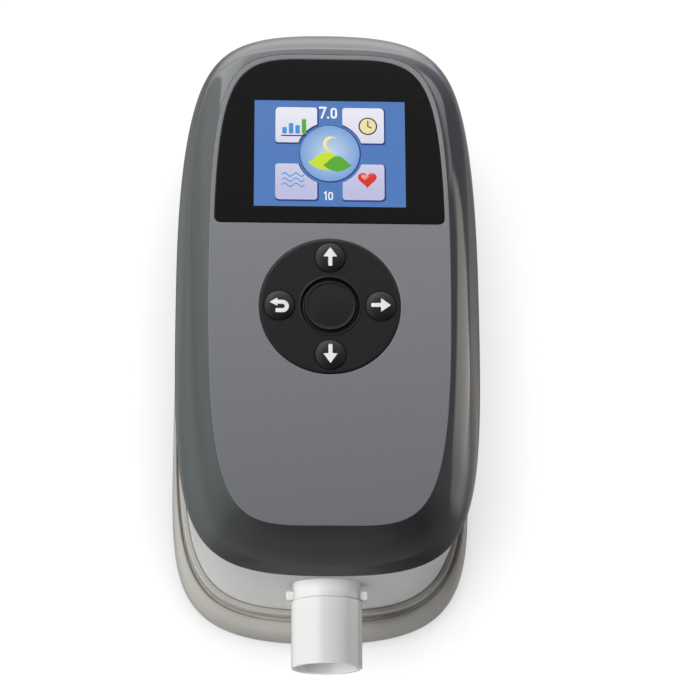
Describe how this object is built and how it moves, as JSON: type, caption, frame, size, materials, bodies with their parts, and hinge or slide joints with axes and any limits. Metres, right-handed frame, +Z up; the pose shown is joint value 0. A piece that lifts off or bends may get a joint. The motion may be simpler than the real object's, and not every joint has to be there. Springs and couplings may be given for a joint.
{
  "type": "cpap machine",
  "caption": "Compact CPAP machine with a sloping control panel, colour screen, round keypad, front 22 mm hose outlet and a lift-off water reservoir below.",
  "frame": {"origin": "centre of the bounding box at floor level, below the centre of the keypad", "axes": "+X to the user's right, +Y to the back, +Z up; the hose outlet points to -Y"},
  "size_m": [0.102, 0.212, 0.0998],
  "materials": {
    "smoke_plastic": "smoky translucent, satin outside",
    "white_plastic": "satin white",
    "gloss_white": "smooth white",
    "charcoal_gloss": "high gloss charcoal",
    "panel_grey": "satin grey with a very fine texture",
    "black_window": "smooth black",
    "screen": "lit colour screen",
    "key_black": "satin black",
    "rubber": "matt",
    "silicone": "translucent, soft",
    "board_green": "solder mask",
    "grey_plastic": "moulded",
    "foam": "open-cell foam",
    "felt": "felt wick",
    "steel": "zinc plated",
    "aluminium": "anodised",
    "cable": "flat ribbon"
  },
  "bodies": {
    "base": {"reservoir": "smoke_plastic", "rubber_feet": "rubber"},
    "main_unit": {"tank_seal": "silicone", "bottom_cover": "grey_plastic", "body_shell": "white_plastic", "top_bezel": "charcoal_gloss", "panel_frame": "grey_plastic", "control_panel": "panel_grey", "display_window": "black_window", "lcd_module": "screen", "display_board": "board_green", "keypad_bezel": "key_black", "button_switches": "steel", "main_board": "board_green", "ribbon_cable": "cable", "speaker": "grey_plastic", "pressure_sensor": "grey_plastic", "sensor_tube": "silicone", "blower_base": "grey_plastic", "blower_cover": "grey_plastic", "blower_motor": "steel", "shaft_bearings": "steel", "blower_mounts": "rubber", "motor_cable": "cable", "inlet_muffler": "foam", "filter_foam": "foam", "air_duct": "silicone", "humidifier_head": "gloss_white", "heater_plate": "aluminium", "wick": "felt", "outlet_collar": "gloss_white", "dc_inlet": "grey_plastic", "usb_port": "steel", "case_screws": "steel", "cap_screws": "steel", "board_screws": "steel"},
    "start_button": {"start_button": "key_black"},
    "up_button": {"up_button": "key_black"},
    "down_button": {"down_button": "key_black"},
    "right_button": {"right_button": "key_black"},
    "back_button": {"back_button": "key_black"},
    "fan": {"impeller": "gloss_white", "motor_shaft": "steel"},
    "filter_door": {"filter_cover": "white_plastic"},
    "hose_adapter": {"outlet_tube": "gloss_white", "outlet_seal": "rubber"}
  },
  "joints": [
    {"name": "lift_off", "type": "slide", "parent": "base", "child": "main_unit", "axis": [0, 0, 1], "range_m": [0, 0.04]},
    {"name": "start_button_press", "type": "slide", "parent": "main_unit", "child": "start_button", "axis": [0, 0.0335, -0.9994], "range_m": [0, 0.0008], "stiffness_N_per_m": 400, "springref_m": -0.001},
    {"name": "up_button_press", "type": "slide", "parent": "main_unit", "child": "up_button", "axis": [0, 0.0335, -0.9994], "range_m": [0, 0.0008], "stiffness_N_per_m": 400, "springref_m": -0.001},
    {"name": "down_button_press", "type": "slide", "parent": "main_unit", "child": "down_button", "axis": [0, 0.0335, -0.9994], "range_m": [0, 0.0008], "stiffness_N_per_m": 400, "springref_m": -0.001},
    {"name": "right_button_press", "type": "slide", "parent": "main_unit", "child": "right_button", "axis": [0, 0.0335, -0.9994], "range_m": [0, 0.0008], "stiffness_N_per_m": 400, "springref_m": -0.001},
    {"name": "back_button_press", "type": "slide", "parent": "main_unit", "child": "back_button", "axis": [0, 0.0335, -0.9994], "range_m": [0, 0.0008], "stiffness_N_per_m": 400, "springref_m": -0.001},
    {"name": "fan_spin", "type": "hinge", "parent": "main_unit", "child": "fan", "pos_m": [0, 0.032, 0.05], "axis": [0, 0, 1], "continuous": true},
    {"name": "filter_door_hinge", "type": "hinge", "parent": "main_unit", "child": "filter_door", "pos_m": [0, 0.096, 0.0316], "axis": [-1, 0, 0], "range_deg": [0, 75]},
    {"name": "hose_adapter_pull", "type": "slide", "parent": "main_unit", "child": "hose_adapter", "axis": [0, -1, 0], "range_m": [0, 0.03]}
  ]
}
